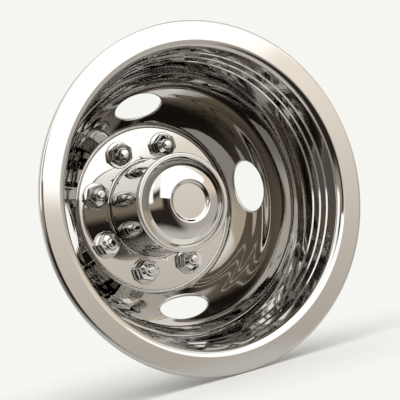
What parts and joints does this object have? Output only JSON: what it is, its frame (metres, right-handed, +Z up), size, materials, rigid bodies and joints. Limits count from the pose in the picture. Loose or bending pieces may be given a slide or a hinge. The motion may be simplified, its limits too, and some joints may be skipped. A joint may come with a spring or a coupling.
{
  "type": "truck wheel simulator",
  "caption": "Deep polished stainless liner that dresses the outer wheel of a dual rear axle, with hand holes, a domed hub cover and hexagonal lug nut covers.",
  "frame": {"origin": "on the wheel axis, at the centre of the lug circle in the front face of the plate", "axes": "+Y along the wheel axis towards the truck, so the outer face looks along -Y; +Z up"},
  "size_m": [0.4381, 0.16, 0.4381],
  "materials": {
    "polished_stainless": "mirror polished stainless sheet",
    "lug_cover_chrome": "mirror polished",
    "spring_steel": "bright spring steel"
  },
  "bodies": {
    "root": {"wheel_liner": "polished_stainless", "hub_sleeve": "polished_stainless", "hub_cap": "polished_stainless", "lug_nut_cover_1": "lug_cover_chrome", "lug_nut_cover_2": "lug_cover_chrome", "lug_nut_cover_3": "lug_cover_chrome", "lug_nut_cover_4": "lug_cover_chrome", "lug_nut_cover_5": "lug_cover_chrome", "lug_nut_cover_6": "lug_cover_chrome", "lug_nut_cover_7": "lug_cover_chrome", "lug_nut_cover_8": "lug_cover_chrome", "cover_washer_1": "spring_steel", "cover_washer_2": "spring_steel", "cover_washer_3": "spring_steel", "cover_washer_4": "spring_steel", "cover_washer_5": "spring_steel", "cover_washer_6": "spring_steel", "cover_washer_7": "spring_steel", "cover_washer_8": "spring_steel"}
  },
  "joints": []
}
